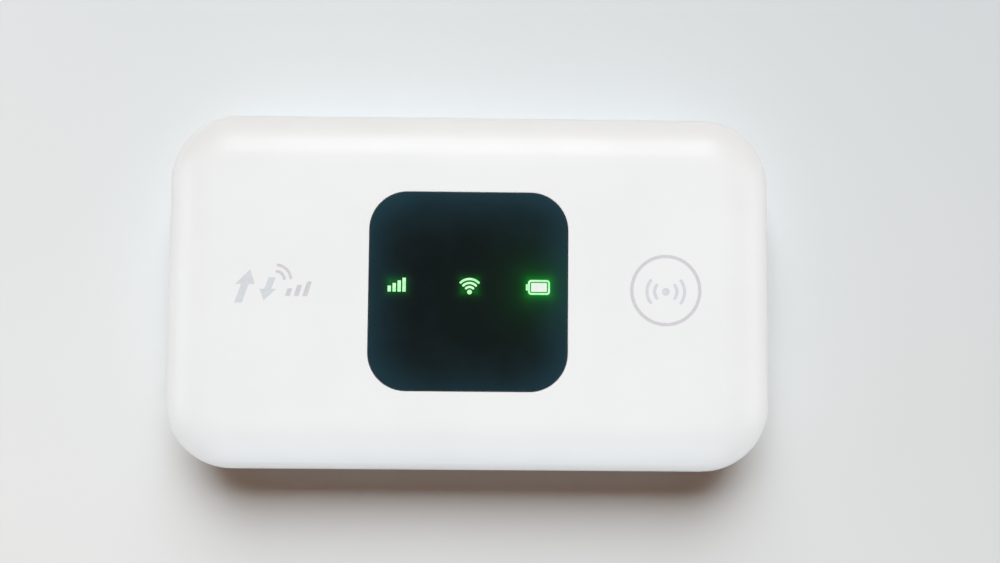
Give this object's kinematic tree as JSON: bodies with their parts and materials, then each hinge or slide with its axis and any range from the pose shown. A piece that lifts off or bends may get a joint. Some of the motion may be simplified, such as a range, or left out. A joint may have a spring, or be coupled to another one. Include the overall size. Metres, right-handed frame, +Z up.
{
  "type": "mobile hotspot",
  "caption": "Pocket mobile hotspot: rounded white shell, square black indicator window, side power key, micro-USB port, lift-off back over a removable battery and subscriber card.",
  "frame": {"origin": "middle of the underside, on the surface it rests on", "axes": "+X along the length towards the port end, +Y towards the long side with the power key, +Z up through the window"},
  "size_m": [0.097, 0.0575, 0.0145],
  "materials": {
    "shell_white": "glossy white moulding",
    "frame_white": "satin white moulding",
    "screw_steel": "zinc-plated",
    "lens_black": "smoked acrylic",
    "tape_black": "black adhesive foam",
    "film_black": "black printed film",
    "block_white": "white moulding",
    "lamp_white": "clear resin over phosphor",
    "board_green": "green solder mask",
    "shield_tin": "tin-plated pressing",
    "chip_black": "moulded epoxy",
    "pad_grey": "soft silicone",
    "passive_tan": "plain",
    "drawn_steel": "nickel-plated",
    "insert_black": "black moulding",
    "contact_gold": "gold-plated",
    "key_white": "satin white moulding",
    "key_grey": "grey moulding",
    "antenna_copper": "bare copper",
    "cell_aluminium": "plain can",
    "wrap_grey": "printed sleeve",
    "card_white": "laminated card",
    "sticker_paper": "blank coated label",
    "foam_grey": "closed-cell foam"
  },
  "bodies": {
    "housing": {"top_cover": "shell_white", "mid_frame": "frame_white", "housing_screws": "screw_steel", "display_lens": "lens_black", "lens_tape": "tape_black", "icon_film": "film_black", "light_shield": "block_white", "indicator_leds": "lamp_white", "main_board": "board_green", "modem_shield": "shield_tin", "rf_shield": "shield_tin", "modem_chip": "chip_black", "memory_chip": "chip_black", "power_chip": "chip_black", "radio_chip": "chip_black", "amplifier_chips": "chip_black", "wifi_chip": "chip_black", "thermal_pad": "pad_grey", "board_passives": "passive_tan", "usb_shell": "drawn_steel", "usb_tongue": "insert_black", "usb_pins": "contact_gold", "sim_socket": "insert_black", "sim_cage": "drawn_steel", "sim_contacts": "contact_gold", "battery_connector": "insert_black", "battery_springs": "contact_gold", "power_switch": "insert_black", "reset_switch": "insert_black", "lte_antenna": "antenna_copper", "diversity_antenna": "antenna_copper", "wifi_antenna": "antenna_copper", "antenna_clips": "contact_gold", "bay_sticker": "sticker_paper"},
    "back_cover": {"back_cover": "shell_white", "cover_foam": "foam_grey"},
    "battery": {"battery_cell": "cell_aluminium", "battery_wrap": "wrap_grey", "battery_end_cap": "insert_black", "battery_rear_cap": "insert_black", "battery_terminals": "contact_gold"},
    "power_button": {"power_button": "key_white", "power_switch_plunger": "insert_black"},
    "reset_button": {"reset_button": "key_grey"},
    "sim_card": {"sim_card": "card_white", "sim_card_pads": "contact_gold"}
  },
  "joints": [
    {"name": "cover_lift", "type": "slide", "parent": "housing", "child": "back_cover", "axis": [0, 0, -1], "range_m": [0, 0.03]},
    {"name": "battery_lift", "type": "slide", "parent": "housing", "child": "battery", "axis": [0, 0, -1], "range_m": [0, 0.015]},
    {"name": "power_press", "type": "slide", "parent": "housing", "child": "power_button", "axis": [0, -1, 0], "range_m": [0, 0.0003], "stiffness_N_per_m": 2500},
    {"name": "reset_press", "type": "slide", "parent": "housing", "child": "reset_button", "axis": [0, 0, 1], "range_m": [0, 0.00025], "stiffness_N_per_m": 2500},
    {"name": "card_slide", "type": "slide", "parent": "housing", "child": "sim_card", "axis": [0, -1, 0], "range_m": [0, 0.0155]}
  ],
  "couplings": [
    {"joint": "battery_lift", "follows": "cover_lift", "ratio": 0.5}
  ]
}
